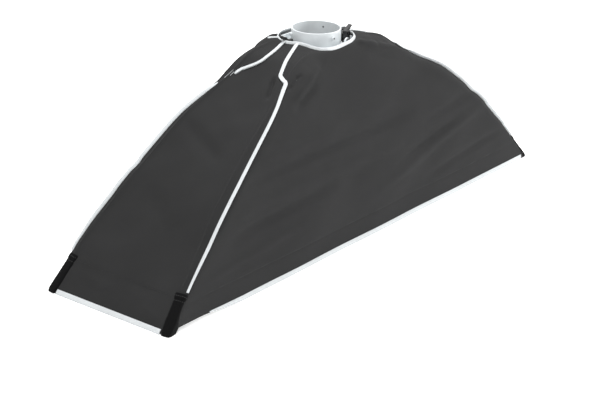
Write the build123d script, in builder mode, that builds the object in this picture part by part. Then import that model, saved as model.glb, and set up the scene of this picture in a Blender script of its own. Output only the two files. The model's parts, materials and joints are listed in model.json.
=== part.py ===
from build123d import *
import os
from math import cos, hypot, radians, sin, sqrt

# A strip softbox, open and standing on its front rim with the mount on top.
# X runs along the strip, Y across it, Z from the front rim up to the mount.
# The origin is on the floor, under the middle of the mount. Millimetres.

# Outer size
LENGTH = 1200.0
WIDTH = 300.0
HEIGHT = 400.0
GAP = 0.4  # between soft pieces and what they lie against
OVERSHOOT = 1.0  # how far a cut runs past the face it opens

# Outline of the end panels, seen from the long side
SKIN = 1.2  # fabric with its coating and seam allowance
RIM_X = LENGTH / 2 - 1.0
CROWN_X, CROWN_Z = 72.0, 379.0
SHOULDER_X, SHOULDER_Z = 133.0, 364.5
BOW_START_X = 172.0
BOW_CHORD_X, BOW_CHORD_Z = 133.0, 360.0
BOW_RISE = 30.0
CHORD = hypot(RIM_X - BOW_CHORD_X, BOW_CHORD_Z)
BOW_R = CHORD**2 / (8 * BOW_RISE) + BOW_RISE / 2
BOW_X = (RIM_X + BOW_CHORD_X) / 2 - (BOW_R - BOW_RISE) * BOW_CHORD_Z / CHORD
BOW_Z = BOW_CHORD_Z / 2 - (BOW_R - BOW_RISE) * (RIM_X - BOW_CHORD_X) / CHORD
BOW_MIDDLE_X = (RIM_X + BOW_START_X) / 2
END_TOP_X = 84.5  # where an end panel stops, short of the opening

# Outline of the side panels, seen from the end
SIDE_FOOT_Y = WIDTH / 2 - 1.0
SIDE_MID_Y, SIDE_MID_Z = 115.0, 246.0
SIDE_TOP_Y, SIDE_TOP_Z = 79.0, 378.0

# Hub plate, with a rim wall round it and a pair of hinge ears at each corner
HUB_HALF = 68.0
HUB_CORNER = 24.0
PLATE_Z, PLATE_T = 356.0, 6.0
PLATE_TOP = PLATE_Z + PLATE_T
RIM_WALL, RIM_TOP, RIM_ROUND = 3.0, 376.0, 1.0
SLOT_LONG, SLOT_CLEAR = 16.0, 0.5
HINGE_X, HINGE_Y, HINGE_Z = 52.0, 45.0, 366.0
EYE_R, EYE_W = 7.0, 10.0
EAR_R, EAR_T, EAR_GAP = 8.5, 3.8, 0.3
PIN_R, PIN_HEAD_R, PIN_HEAD_T = 2.5, 4.0, 1.0
RUNNING = 0.06

# Collar that turns in the hub plate
COLLAR_R, COLLAR_BORE_R = 49.0, 46.5
COLLAR_FOOT_Z = 352.0
FLANGE_R, FLANGE_TOP, FLARE_TOP = 55.0, 365.0, 372.0
RING_R, RING_T = 56.0, 3.6
BOSS_R, BOSS_PROUD, BOSS_Z, BOSS_START = 4.0, 3.2, 388.0, -100.0
BOSS_COUNT, LIP_ROUND, RING_CHAMFER = 3, 0.8, 0.8
SET_SCREW_R, SET_SCREW_HEX_R, SET_SCREW_SUNK, SET_SCREW_INSET = 1.8, 0.9, 1.0, 0.2

# Ribs: a knuckle arm, a bowed rod in its socket and a cap on the tip
ROD_R = 3.5
ROD_INSET = 8.0
TIP_X, TIP_Y = 583.0, 138.0
WEB_T, WEB_ROOT, WEB_END = 5.0, 6.4, 4.5
WEB_KNEE_X, WEB_KNEE_UP = 92.0, 2.0
WEB_HEEL_X, WEB_HEEL_DOWN = 96.0, 12.0
WEB_END_X = 118.0
SOCKET_R, SOCKET_X, SOCKET_LENGTH, SOCKET_ROUND = 5.5, 130.0, 36.0, 0.8
SEAT_X, SEAT_PLAY = 117.0, 0.16
RIVET_R, RIVET_HEAD_R, RIVET_HEAD_T = 1.5, 2.6, 1.0
CAP_R, CAP_LENGTH, CAP_END, CAP_ROUND = 5.0, 24.0, 3.0, 2.0

# Corner pockets, round the ribs' tips
POCKET_LENGTH, POCKET_PAST_TIP = 74.0, 14.0
POCKET_HALF_H, POCKET_HALF_W, POCKET_WALL = 9.0, 9.5, 1.6
POCKET_ROUND, POCKET_END = 5.0, 6.0
POCKET_AIM_X = TIP_X - POCKET_LENGTH / 3  # where the pocket is in line with the rod

# Bindings and hems
BINDING_W, BINDING_T = 9.0, 2.0
OPENING_HALF, OPENING_CORNER, BINDING_ROUND = 69.5, 28.0, 0.8
HEM_H, HEM_T, HEM_OUTSET = 14.0, 0.9, 1.0
HEM_END_X, HEM_END_Y = 574.0, 124.0
SEAM_TOP_Z, SEAM_FOOT_Z = 366.0, 84.0

# Front diffuser and inner baffle
DIFFUSER_Z, SHEET_T, SKIRT_H = 36.0, 1.0, 12.0
DIFFUSER_X, DIFFUSER_Y = 552.0, 139.0
DIFFUSER_CUT_X, DIFFUSER_CUT_Y = 47.0, 34.0
TAPE_T, TAPE_HALF_X = 1.0, 498.0
BAFFLE_Z, BAFFLE_X, BAFFLE_Y, BAFFLE_CUT = 230.0, 335.0, 88.0, 26.0

# Release latches, on opposite corners of the hub
LATCH_X, LATCH_DEPTH = 55.6, 12.4
LATCH_Y, LATCH_W, LATCH_TOP = -23.5, 21.0, 386.0
CHEEK_T, LATCH_BASE, LATCH_ROUND, LATCH_TOP_ROUND = 5.0, 3.0, 1.5, 1.0
SEAT_CLEAR = 1.0
LEVER_X, LEVER_Z = 62.0, 380.0
LEVER_PIN_R = 1.5
LEVER_Y0, LEVER_Y1, LEVER_ROUND = -28.7, -21.2, 0.6
LEVER_OUTLINE = (  # seen from the side, from the pivot: hooked foot, neck, thumb piece, back
    (-3.4, -12.5),
    (-0.4, -13.5),
    (3.4, -2.0),
    (6.5, 3.5),
    (16.5, 10.5),
    (18.0, 13.0),
    (15.5, 14.5),
    (4.5, 8.0),
    (-3.6, 4.0),
)
SPRING_R, WIRE_R, SPRING_PITCH, SPRING_TURNS, SPRING_CLEAR = 2.6, 0.4, 0.95, 1.5, 0.2

# Flap over the root of the far left rib
FLAP_X0, FLAP_X1 = 88.0, 186.0
FLAP_Y0, FLAP_Y1 = 22.0, 66.0
FLAP_LIFT, FLAP_T = 1.2, 1.4
FLAP_TRIM_LIFT, FLAP_TRIM_T, FLAP_TRIM_W = 0.2, 0.8, 8.0

SIDES = {"left": -1, "right": 1}
DEPTHS = {"near": -1, "far": 1}

os.makedirs("parts", exist_ok=True)


def save(piece, name):
    """Label a finished piece and write it as one STEP file."""
    piece.part.label = name
    export_step(piece.part, f"parts/{name}.step")


def bow_z(x, inset=0.0):
    """Height of the bowed outline at x, with its curve moved in by inset."""
    return BOW_Z + sqrt((BOW_R - inset) ** 2 - (x - BOW_X) ** 2)


def bow_x(z, inset=0.0):
    """Distance from the middle of the bowed outline at height z."""
    return BOW_X + sqrt((BOW_R - inset) ** 2 - (z - BOW_Z) ** 2)


def bow_tangent(x, inset=0.0):
    """Unit direction of the bowed outline at x, going outwards and down."""
    radius = BOW_R - inset
    return (bow_z(x, inset) - BOW_Z) / radius, -(x - BOW_X) / radius


def end_region(inset=0.0, side=1, mode=Mode.ADD):
    """Sketch what lies inside the end outline, from the middle out to one side."""
    rim = (side * bow_x(0, inset), 0)
    halfway = (side * BOW_MIDDLE_X, bow_z(BOW_MIDDLE_X, inset))
    bow_start = (side * BOW_START_X, bow_z(BOW_START_X, inset))
    shoulder = (side * SHOULDER_X, SHOULDER_Z - inset)
    crown = (side * CROWN_X, CROWN_Z - inset)
    with BuildLine() as outline:
        ThreePointArc(rim, halfway, bow_start)
        Polyline(bow_start, shoulder, crown, (0, CROWN_Z - inset), (0, 0), rim)
    make_face(outline.edges(), mode=mode)


def side_region(inset=0.0, side=1, mode=Mode.ADD):
    """Sketch what lies inside the side outline, from the middle out to one side."""
    foot = (side * (SIDE_FOOT_Y - inset), 0)
    middle = (side * (SIDE_MID_Y - inset), SIDE_MID_Z)
    top = (side * (SIDE_TOP_Y - inset), SIDE_TOP_Z)
    with BuildLine() as outline:
        ThreePointArc(foot, middle, top)
        Polyline(top, (0, SIDE_TOP_Z), (0, 0), foot)
    make_face(outline.edges(), mode=mode)


def end_band(side, outer, inner):
    """Sketch the band between two insets of the end outline."""
    end_region(outer, side)
    end_region(inner, side, Mode.SUBTRACT)


def side_band(side, outer, inner):
    """Sketch the band between two insets of the side outline."""
    side_region(outer, side)
    side_region(inner, side, Mode.SUBTRACT)


def keep_heights(low, high):
    """Keep what an upright sketch has between two heights."""
    with Locations((0, (low + high) / 2)):
        Rectangle(2 * LENGTH, high - low, mode=Mode.INTERSECT)


def rib_plane(sx, sy):
    """Upright plane of one rib: local x runs out along the rib, local y is up."""
    run_x, run_y = sx * (TIP_X - HINGE_X), sy * (TIP_Y - HINGE_Y)
    return Plane(origin=(sx * HINGE_X, sy * HINGE_Y, 0), x_dir=(run_x, run_y, 0), z_dir=(run_y, -run_x, 0))


def along(x):
    """Distance along a rib's plane, from its hinge, of a point at x."""
    return (x - HINGE_X) * hypot(TIP_X - HINGE_X, TIP_Y - HINGE_Y) / (TIP_X - HINGE_X)


def rod_point(x):
    """Point of the rod's centreline in its rib plane."""
    return along(x), bow_z(x, ROD_INSET)


def rod_direction(x):
    """Unit direction of the rod in its rib plane."""
    dx, dz = bow_tangent(x, ROD_INSET)
    dx *= along(HINGE_X + 1)
    size = hypot(dx, dz)
    return dx / size, dz / size


def rod_section(sx, sy, x):
    """Plane square across the rod at x, its normal pointing towards the tip."""
    plane = rib_plane(sx, sy)
    s, z = rod_point(x)
    ds, dz = rod_direction(x)
    return Plane(origin=plane.from_local_coords((s, z, 0)), z_dir=plane.x_dir * ds + Vector(0, 0, dz))


def tip_box(sx, sy, grow, mode, beyond=0.0):
    """Box round the tip of a rib, along its rod: the pocket, grown, and more beyond it."""
    s, z = rod_point(TIP_X)
    ds, dz = rod_direction(POCKET_AIM_X)
    back, ahead, half = POCKET_LENGTH + grow, POCKET_PAST_TIP + grow + beyond, POCKET_HALF_H + grow
    corners = [(-back, -half), (ahead, -half), (ahead, half + beyond), (-back, half + beyond)]
    with BuildSketch(rib_plane(sx, sy)) as box:
        Polygon(*[(s + a * ds - b * dz, z + a * dz + b * ds) for a, b in corners], align=None)
    extrude(box.sketch, amount=POCKET_HALF_W + grow, both=True, mode=mode)


def keep_in_outer_box():
    """Trim the current part to the open softbox's outer length, width and floor."""
    with BuildSketch(Plane.XY) as footprint:
        Rectangle(LENGTH, WIDTH)
    extrude(footprint.sketch, amount=HEIGHT, mode=Mode.INTERSECT)


def make_hub_plate():
    with BuildPart() as hub:
        with BuildSketch(Plane.XY.offset(PLATE_Z)):
            RectangleRounded(2 * HUB_HALF, 2 * HUB_HALF, HUB_CORNER)
        extrude(amount=PLATE_T)
        with BuildSketch(Plane.XY.offset(PLATE_TOP)):
            RectangleRounded(2 * HUB_HALF, 2 * HUB_HALF, HUB_CORNER)
            inner = 2 * (HUB_HALF - RIM_WALL)
            RectangleRounded(inner, inner, HUB_CORNER - RIM_WALL, mode=Mode.SUBTRACT)
        extrude(amount=RIM_TOP - PLATE_TOP)
        fillet(hub.faces().sort_by(Axis.Z)[-1].edges(), RIM_ROUND)
        # slots that let the knuckle arms swing out and down
        ear_in = HINGE_Y - EYE_W / 2 - EAR_GAP
        ear_out = HINGE_Y + EYE_W / 2 + EAR_GAP
        with BuildSketch(Plane.XY.offset(PLATE_Z)):
            for sx in SIDES.values():
                for sy in DEPTHS.values():
                    slot_x = HINGE_X - EAR_R
                    with Locations((sx * slot_x, sy * HINGE_Y)):
                        align = (Align.MIN if sx > 0 else Align.MAX, Align.CENTER)
                        Rectangle(HUB_HALF, ear_out - ear_in, align=align)
                    with Locations((sx * (HINGE_X + EAR_R + SLOT_CLEAR), sy * (ear_in + SLOT_LONG / 2))):
                        Rectangle(HUB_HALF, SLOT_LONG, align=align)
        extrude(amount=HEIGHT - PLATE_Z, mode=Mode.SUBTRACT)
        # seats for the two latches
        with BuildSketch(Plane.XY.offset(PLATE_TOP)):
            for turn in (1, -1):
                with Locations((turn * HUB_HALF, turn * LATCH_Y)):
                    Rectangle(2 * (RIM_WALL + SEAT_CLEAR), LATCH_W + SEAT_CLEAR)
        extrude(amount=HEIGHT - PLATE_TOP, mode=Mode.SUBTRACT)
        # hinge ears, each pair with a hole for its pin
        for sy in DEPTHS.values():
            for ear_y in (ear_in - EAR_T, ear_out):
                with BuildSketch(Plane.XZ.offset(-sy * ear_y)):
                    with Locations((-HINGE_X, HINGE_Z), (HINGE_X, HINGE_Z)):
                        Circle(EAR_R)
                        foot = HINGE_Z - PLATE_Z
                        Rectangle(2 * EAR_R, foot, align=(Align.CENTER, Align.MAX))
                extrude(amount=-sy * EAR_T)
        with BuildSketch(Plane.XZ):
            with Locations((-HINGE_X, HINGE_Z), (HINGE_X, HINGE_Z)):
                Circle(PIN_R)
        extrude(amount=WIDTH, both=True, mode=Mode.SUBTRACT)
        with BuildSketch(Plane.XY.offset(PLATE_Z)):
            Circle(COLLAR_R + RUNNING)
        extrude(amount=HEIGHT, mode=Mode.SUBTRACT)
    save(hub, "hub_plate")


def make_hinge_pins():
    inner = HINGE_Y - EYE_W / 2 - EAR_GAP - EAR_T
    outer = HINGE_Y + EYE_W / 2 + EAR_GAP + EAR_T
    with BuildPart() as pins:
        for sy in DEPTHS.values():
            with BuildSketch(Plane.XZ.offset(-sy * inner)):
                with Locations((-HINGE_X, HINGE_Z), (HINGE_X, HINGE_Z)):
                    Circle(PIN_R)
            extrude(amount=-sy * (outer - inner))
            for face, out in ((inner, -1), (outer, 1)):
                with BuildSketch(Plane.XZ.offset(-sy * face)):
                    with Locations((-HINGE_X, HINGE_Z), (HINGE_X, HINGE_Z)):
                        Circle(PIN_HEAD_R)
                extrude(amount=-sy * out * PIN_HEAD_T)
    save(pins, "hinge_pins")


def boss_planes(radius):
    """Planes that face outwards at each boss of the collar, at a radius from its axis."""
    for number in range(BOSS_COUNT):
        angle = radians(BOSS_START + number * 360 / BOSS_COUNT)
        out = Vector(cos(angle), sin(angle), 0)
        yield Plane(origin=out * radius + Vector(0, 0, BOSS_Z), z_dir=out)


def make_collar():
    with BuildPart() as collar:
        with BuildSketch(Plane.XZ):
            with BuildLine():
                Polyline(
                    (COLLAR_BORE_R, COLLAR_FOOT_Z),
                    (COLLAR_R, COLLAR_FOOT_Z),
                    (COLLAR_R, PLATE_TOP + RUNNING),
                    (FLANGE_R, PLATE_TOP + RUNNING),
                    (FLANGE_R, FLANGE_TOP),
                    (COLLAR_R, FLARE_TOP),
                    (COLLAR_R, HEIGHT),
                    (COLLAR_BORE_R, HEIGHT),
                    close=True,
                )
            make_face()
        revolve(axis=Axis.Z)
        fillet(collar.faces().sort_by(Axis.Z)[-1].edges(), LIP_ROUND)
        for plane in boss_planes(COLLAR_R - OVERSHOOT):
            with BuildSketch(plane):
                Circle(BOSS_R)
            extrude(amount=BOSS_PROUD + OVERSHOOT)
        for plane in boss_planes(COLLAR_BORE_R - OVERSHOOT):
            with BuildSketch(plane):
                Circle(SET_SCREW_R)
            extrude(amount=COLLAR_R - COLLAR_BORE_R + BOSS_PROUD + 2 * OVERSHOOT, mode=Mode.SUBTRACT)
    save(collar, "mount_collar")

    with BuildPart() as screws:
        for plane in boss_planes(COLLAR_BORE_R + SET_SCREW_INSET):
            with BuildSketch(plane):
                Circle(SET_SCREW_R)
                RegularPolygon(SET_SCREW_HEX_R, 6, mode=Mode.SUBTRACT)
            extrude(amount=COLLAR_R - COLLAR_BORE_R + BOSS_PROUD - SET_SCREW_SUNK)
    save(screws, "collar_screws")

    with BuildPart() as ring:
        with BuildSketch(Plane.XY.offset(COLLAR_FOOT_Z)):
            Circle(RING_R)
            Circle(COLLAR_R + RUNNING, mode=Mode.SUBTRACT)
        extrude(amount=RING_T)
        chamfer(ring.edges().filter_by(GeomType.CIRCLE).group_by(SortBy.RADIUS)[-1], RING_CHAMFER)
    save(ring, "retaining_ring")


def make_latch(side, turn):
    """One release latch: turn is 1 for the right one and -1 for its opposite."""
    with BuildPart() as housing:
        with BuildSketch(Plane.XY.offset(PLATE_TOP)):
            with Locations((turn * (LATCH_X + LATCH_DEPTH / 2), turn * LATCH_Y)):
                Rectangle(LATCH_DEPTH, LATCH_W)
        extrude(amount=LATCH_TOP - PLATE_TOP)
        fillet(housing.edges().filter_by(Axis.Z), LATCH_ROUND)
        fillet(housing.faces().sort_by(Axis.Z)[-1].edges(), LATCH_TOP_ROUND)
        with BuildSketch(Plane.XY.offset(PLATE_TOP + LATCH_BASE)):
            with Locations((turn * (LATCH_X + LATCH_DEPTH / 2), turn * LATCH_Y)):
                Rectangle(2 * LATCH_DEPTH, LATCH_W - 2 * CHEEK_T)
        extrude(amount=LATCH_TOP, mode=Mode.SUBTRACT)
        with BuildSketch(Plane.XZ):
            with Locations((turn * LEVER_X, LEVER_Z)):
                Circle(LEVER_PIN_R)
        extrude(amount=WIDTH, both=True, mode=Mode.SUBTRACT)
    save(housing, f"{side}_latch_housing")

    with BuildPart() as lever:
        with BuildSketch(Plane.XZ.offset(-turn * LEVER_Y0)):
            Polygon(*[(turn * (LEVER_X + x), LEVER_Z + z) for x, z in LEVER_OUTLINE], align=None)
        extrude(amount=-turn * (LEVER_Y1 - LEVER_Y0))
        fillet(lever.edges().filter_by(Axis.Y), LEVER_ROUND)
        with BuildSketch(Plane.XZ):
            with Locations((turn * LEVER_X, LEVER_Z)):
                Circle(LEVER_PIN_R + RUNNING)
        extrude(amount=WIDTH, both=True, mode=Mode.SUBTRACT)
    save(lever, f"{side}_latch_lever")


def make_latch_small_parts():
    cheek = LATCH_Y - LATCH_W / 2
    with BuildPart() as pins:
        for turn in (1, -1):
            with BuildSketch(Plane.XZ.offset(-turn * cheek)):
                with Locations((turn * LEVER_X, LEVER_Z)):
                    Circle(LEVER_PIN_R)
            extrude(amount=-turn * LATCH_W)
    save(pins, "latch_pins")

    spring_y = LATCH_Y + LATCH_W / 2 - CHEEK_T - WIRE_R - SPRING_CLEAR
    with BuildPart() as springs:
        for turn in (1, -1):
            foot = (turn * LEVER_X, turn * spring_y, LEVER_Z)
            with BuildLine() as coil:
                Helix(SPRING_PITCH, SPRING_PITCH * SPRING_TURNS, SPRING_R, foot, (0, -turn, 0))
            with BuildSketch(Plane(origin=coil.line @ 0, z_dir=coil.line % 0)):
                Circle(WIRE_R)
            sweep(path=coil.line, is_frenet=True)
    save(springs, "latch_springs")


def make_rib(name, sx, sy):
    """One rib: its arm, its rod, the rivet that joins them and the cap on its tip."""
    plane = rib_plane(sx, sy)
    socket = rod_section(sx, sy, SOCKET_X)
    (seat_s, seat_z), (socket_s, socket_z) = rod_point(SEAT_X), rod_point(SOCKET_X)
    seat_depth = hypot(socket_s - seat_s, socket_z - seat_z)
    with BuildPart() as arm:
        with BuildSketch(Plane.XZ.offset(-sy * HINGE_Y)):
            with Locations((sx * HINGE_X, HINGE_Z)):
                Circle(EYE_R)
        extrude(amount=EYE_W / 2, both=True)
        with BuildSketch(plane):
            Polygon(
                (0, HINGE_Z + WEB_ROOT),
                (along(WEB_KNEE_X), HINGE_Z + WEB_KNEE_UP),
                (along(WEB_END_X), bow_z(WEB_END_X, ROD_INSET) + WEB_END),
                (along(WEB_END_X), bow_z(WEB_END_X, ROD_INSET) - WEB_END),
                (along(WEB_HEEL_X), HINGE_Z - WEB_HEEL_DOWN),
                (0, HINGE_Z - WEB_ROOT),
                align=None,
            )
        extrude(amount=WEB_T / 2, both=True)
        with BuildSketch(socket):
            Circle(SOCKET_R)
        extrude(amount=SOCKET_LENGTH / 2, both=True)
        fillet(arm.faces().sort_by(Axis.X)[-1 if sx > 0 else 0].edges(), SOCKET_ROUND)
        with BuildSketch(socket.offset(-seat_depth)):
            Circle(ROD_R + SEAT_PLAY)
        extrude(amount=SOCKET_LENGTH, mode=Mode.SUBTRACT)
        with BuildSketch(Plane.XZ):
            with Locations((sx * HINGE_X, HINGE_Z)):
                Circle(PIN_R + RUNNING)
        extrude(amount=WIDTH, both=True, mode=Mode.SUBTRACT)
        with BuildSketch(plane):
            with Locations(rod_point(SOCKET_X)):
                Circle(RIVET_R)
        extrude(amount=SOCKET_R + OVERSHOOT, both=True, mode=Mode.SUBTRACT)
    save(arm, f"{name}_arm")

    with BuildPart() as rod:
        with BuildLine(plane) as path:
            ThreePointArc(rod_point(SEAT_X + OVERSHOOT), rod_point((SEAT_X + TIP_X) / 2), rod_point(TIP_X))
        across = plane.z_dir.cross(path.line % 0)
        with BuildSketch(Plane(origin=path.line @ 0, x_dir=across, z_dir=path.line % 0)):
            Circle(ROD_R)
        sweep(path=path.line)
        with BuildSketch(plane):
            with Locations(rod_point(SOCKET_X)):
                Circle(RIVET_R)
        extrude(amount=SOCKET_R + OVERSHOOT, both=True, mode=Mode.SUBTRACT)
    save(rod, f"{name}_rod")

    with BuildPart() as rivet:
        with BuildSketch(plane):
            with Locations(rod_point(SOCKET_X)):
                Circle(RIVET_R)
        extrude(amount=SOCKET_R, both=True)
        for face in (1, -1):
            with BuildSketch(plane.offset(face * SOCKET_R)):
                with Locations(rod_point(SOCKET_X)):
                    Circle(RIVET_HEAD_R)
            extrude(amount=face * RIVET_HEAD_T)
    save(rivet, f"{name}_rivet")

    tip = path.line @ 1
    tip_direction = path.line % 1
    with BuildPart() as cap:
        with BuildSketch(Plane(origin=tip + tip_direction * CAP_END, z_dir=-tip_direction)):
            Circle(CAP_R)
        extrude(amount=CAP_LENGTH)
        fillet(cap.edges().filter_by(GeomType.CIRCLE).sort_by(Axis.Z)[0], CAP_ROUND)
        add(rod.part, mode=Mode.SUBTRACT)
    save(cap, f"{name}_tip_cap")


def make_pocket(name, sx, sy):
    """The fabric pocket that holds a rib's tip, open at the top for the rod."""
    with BuildPart() as pocket:
        tip_box(sx, sy, 0.0, Mode.ADD)
        long_edges = pocket.edges().sort_by(SortBy.LENGTH)[-4:]
        fillet(long_edges, POCKET_ROUND)
        s, z = rod_point(TIP_X)
        ds, dz = rod_direction(POCKET_AIM_X)
        half = POCKET_HALF_H - POCKET_WALL
        back, ahead = POCKET_LENGTH + OVERSHOOT, POCKET_PAST_TIP - POCKET_END
        corners = [(-back, -half), (ahead, -half), (ahead, half), (-back, half)]
        with BuildSketch(rib_plane(sx, sy)):
            Polygon(*[(s + a * ds - b * dz, z + a * dz + b * ds) for a, b in corners], align=None)
        extrude(amount=POCKET_HALF_W - POCKET_WALL, both=True, mode=Mode.SUBTRACT)
        keep_in_outer_box()
    save(pocket, f"{name}_pocket")


def make_seam_binding(name, sx, sy):
    """Binding that stands out as a fin where an end panel meets a side panel."""
    with BuildPart() as seam:
        with BuildSketch(Plane.XZ):
            end_band(sx, 0.0, BINDING_T)
        extrude(amount=WIDTH / 2, both=True)
        with BuildSketch(Plane.YZ):
            side_band(sy, -GAP - BINDING_W, -GAP)
            keep_heights(SEAM_FOOT_Z, SEAM_TOP_Z)
        extrude(amount=LENGTH, both=True, mode=Mode.INTERSECT)
    save(seam, f"{name}_seam_binding")


def make_end_panel(name, sx):
    with BuildPart() as panel:
        with BuildSketch(Plane.XZ):
            end_band(sx, 0.0, SKIN)
            with Locations((sx * (END_TOP_X + LENGTH / 2), HEIGHT / 2)):
                Rectangle(LENGTH, HEIGHT, mode=Mode.INTERSECT)
        extrude(amount=WIDTH / 2, both=True)
        with BuildSketch(Plane.YZ):
            side_region(SKIN + GAP, 1)
            side_region(SKIN + GAP, -1)
        extrude(amount=LENGTH, both=True, mode=Mode.INTERSECT)
        for sy in DEPTHS.values():
            tip_box(sx, sy, GAP, Mode.SUBTRACT, beyond=WIDTH / 10)
    save(panel, f"{name}_end_panel")

    with BuildPart() as hem:
        with BuildSketch(Plane.XZ):
            end_band(sx, -HEM_OUTSET, HEM_T - HEM_OUTSET)
            keep_heights(0.0, HEM_H)
        extrude(amount=HEM_END_Y, both=True)
    save(hem, f"{name}_end_hem")


def make_side_panel(name, sy):
    with BuildPart() as panel:
        with BuildSketch(Plane.YZ):
            side_band(sy, 0.0, SKIN)
        extrude(amount=LENGTH / 2, both=True)
        with BuildSketch(Plane.XZ):
            end_region(0.0, 1)
            end_region(0.0, -1)
        extrude(amount=WIDTH / 2, both=True, mode=Mode.INTERSECT)
        for sx in SIDES.values():
            tip_box(sx, sy, GAP, Mode.SUBTRACT, beyond=WIDTH / 10)
    save(panel, f"{name}_side_panel")

    with BuildPart() as hem:
        with BuildSketch(Plane.YZ):
            side_band(sy, -HEM_OUTSET, HEM_T - HEM_OUTSET)
            keep_heights(0.0, HEM_H)
        extrude(amount=HEM_END_X, both=True)
    save(hem, f"{name}_side_hem")


def make_opening_binding():
    outer = 2 * (OPENING_HALF + BINDING_W)
    with BuildPart() as binding:
        with BuildSketch(Plane.XY.offset(SIDE_TOP_Z + GAP)):
            RectangleRounded(outer, outer, OPENING_CORNER + BINDING_W)
            RectangleRounded(2 * OPENING_HALF, 2 * OPENING_HALF, OPENING_CORNER, mode=Mode.SUBTRACT)
        extrude(amount=BINDING_T)
        fillet(binding.edges().group_by(Axis.Z)[-1], BINDING_ROUND)
    save(binding, "opening_binding")


def sheet_outline(half_x, half_y, cut_x, cut_y):
    """Corner points of a rectangle with its corners cut off, for a hung sheet."""
    upper = [(half_x, half_y - cut_y), (half_x - cut_x, half_y)]
    upper += [(-x, y) for x, y in reversed(upper)]
    return upper + [(x, -y) for x, y in reversed(upper)]


def make_diffuser():
    outline = sheet_outline(DIFFUSER_X, DIFFUSER_Y, DIFFUSER_CUT_X, DIFFUSER_CUT_Y)
    with BuildPart() as diffuser:
        with BuildSketch(Plane.XY.offset(DIFFUSER_Z)):
            Polygon(*outline, align=None)
        extrude(amount=SHEET_T)
    save(diffuser, "front_diffuser")

    with BuildPart() as edge:
        with BuildSketch(Plane.XY.offset(DIFFUSER_Z + SHEET_T)):
            Polygon(*outline, align=None)
            offset(amount=-SHEET_T, kind=Kind.INTERSECTION, mode=Mode.SUBTRACT)
        extrude(amount=SKIRT_H - SHEET_T)
    save(edge, "diffuser_edge")

    with BuildPart() as tapes:
        with BuildSketch(Plane.XY.offset(DIFFUSER_Z)):
            tape_y = DIFFUSER_Y + GAP / 2 + TAPE_T / 2
            with Locations((0, -tape_y), (0, tape_y)):
                Rectangle(2 * TAPE_HALF_X, TAPE_T)
        extrude(amount=SKIRT_H)
    save(tapes, "diffuser_tapes")


def make_baffle():
    with BuildPart() as baffle:
        with BuildSketch(Plane.XY.offset(BAFFLE_Z)):
            Polygon(*sheet_outline(BAFFLE_X, BAFFLE_Y, BAFFLE_CUT, BAFFLE_CUT), align=None)
        extrude(amount=SHEET_T)
    save(baffle, "inner_baffle")


def end_top(x):
    """Height of the end panels' outer face at x."""
    if x >= BOW_START_X:
        return bow_z(x)
    start, start_z, end, end_z = CROWN_X, CROWN_Z, SHOULDER_X, SHOULDER_Z
    if x > SHOULDER_X:
        start, start_z, end, end_z = SHOULDER_X, SHOULDER_Z, BOW_START_X, bow_z(BOW_START_X)
    return start_z + (end_z - start_z) * (x - start) / (end - start)


def flap_layer(low, high):
    """A layer that follows the end panel between two lifts, as wide as the softbox."""
    stations = (FLAP_X0, SHOULDER_X, BOW_START_X, FLAP_X1)
    bottom = [(-x, end_top(x) + low) for x in stations]
    top = [(-x, end_top(x) + high) for x in reversed(stations)]
    with BuildSketch(Plane.XZ) as layer:
        Polygon(*bottom, *top, align=None)
    extrude(layer.sketch, amount=WIDTH, both=True)


def flap_outline():
    """Sketch the flap from above: straight along its hinge, rounded along its free edge."""
    with Locations((-(FLAP_X0 + FLAP_X1) / 2, (FLAP_Y0 + FLAP_Y1) / 2)):
        Rectangle(FLAP_X1 - FLAP_X0, FLAP_Y1 - FLAP_Y0)


def make_flap():
    with BuildPart() as flap:
        flap_layer(FLAP_LIFT, FLAP_LIFT + FLAP_T)
        with BuildSketch(Plane.XY) as outline:
            flap_outline()
            fillet(outline.vertices().group_by(Axis.Y)[0], (FLAP_Y1 - FLAP_Y0) / 2)
        extrude(amount=HEIGHT, mode=Mode.INTERSECT)
    save(flap, "flap")

    trim_z = FLAP_LIFT + FLAP_T + FLAP_TRIM_LIFT
    with BuildPart() as binding:
        flap_layer(trim_z, trim_z + FLAP_TRIM_T)
        with BuildSketch(Plane.XY) as outline:
            flap_outline()
            fillet(outline.vertices().group_by(Axis.Y)[0], (FLAP_Y1 - FLAP_Y0) / 2)
            offset(amount=-FLAP_TRIM_W, mode=Mode.SUBTRACT)
            with Locations((-(FLAP_X0 + FLAP_X1) / 2, FLAP_Y1)):
                Rectangle(FLAP_X1 - FLAP_X0 - 2 * FLAP_TRIM_W, 2 * FLAP_TRIM_W, mode=Mode.SUBTRACT)
        extrude(amount=HEIGHT, mode=Mode.INTERSECT)
    save(binding, "flap_binding")


def main():
    make_hub_plate()
    make_hinge_pins()
    make_collar()
    make_latch("right", 1)
    make_latch("left", -1)
    make_latch_small_parts()
    make_opening_binding()
    make_diffuser()
    make_baffle()
    for depth, sy in DEPTHS.items():
        make_side_panel(depth, sy)
    for side, sx in SIDES.items():
        make_end_panel(side, sx)
        for depth, sy in DEPTHS.items():
            make_rib(f"{depth}_{side}", sx, sy)
            make_pocket(f"{depth}_{side}", sx, sy)
            make_seam_binding(f"{depth}_{side}", sx, sy)
    make_flap()


main()
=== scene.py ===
"""A strip softbox: its fabric, bindings and finishes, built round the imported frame."""

import json
import math

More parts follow.
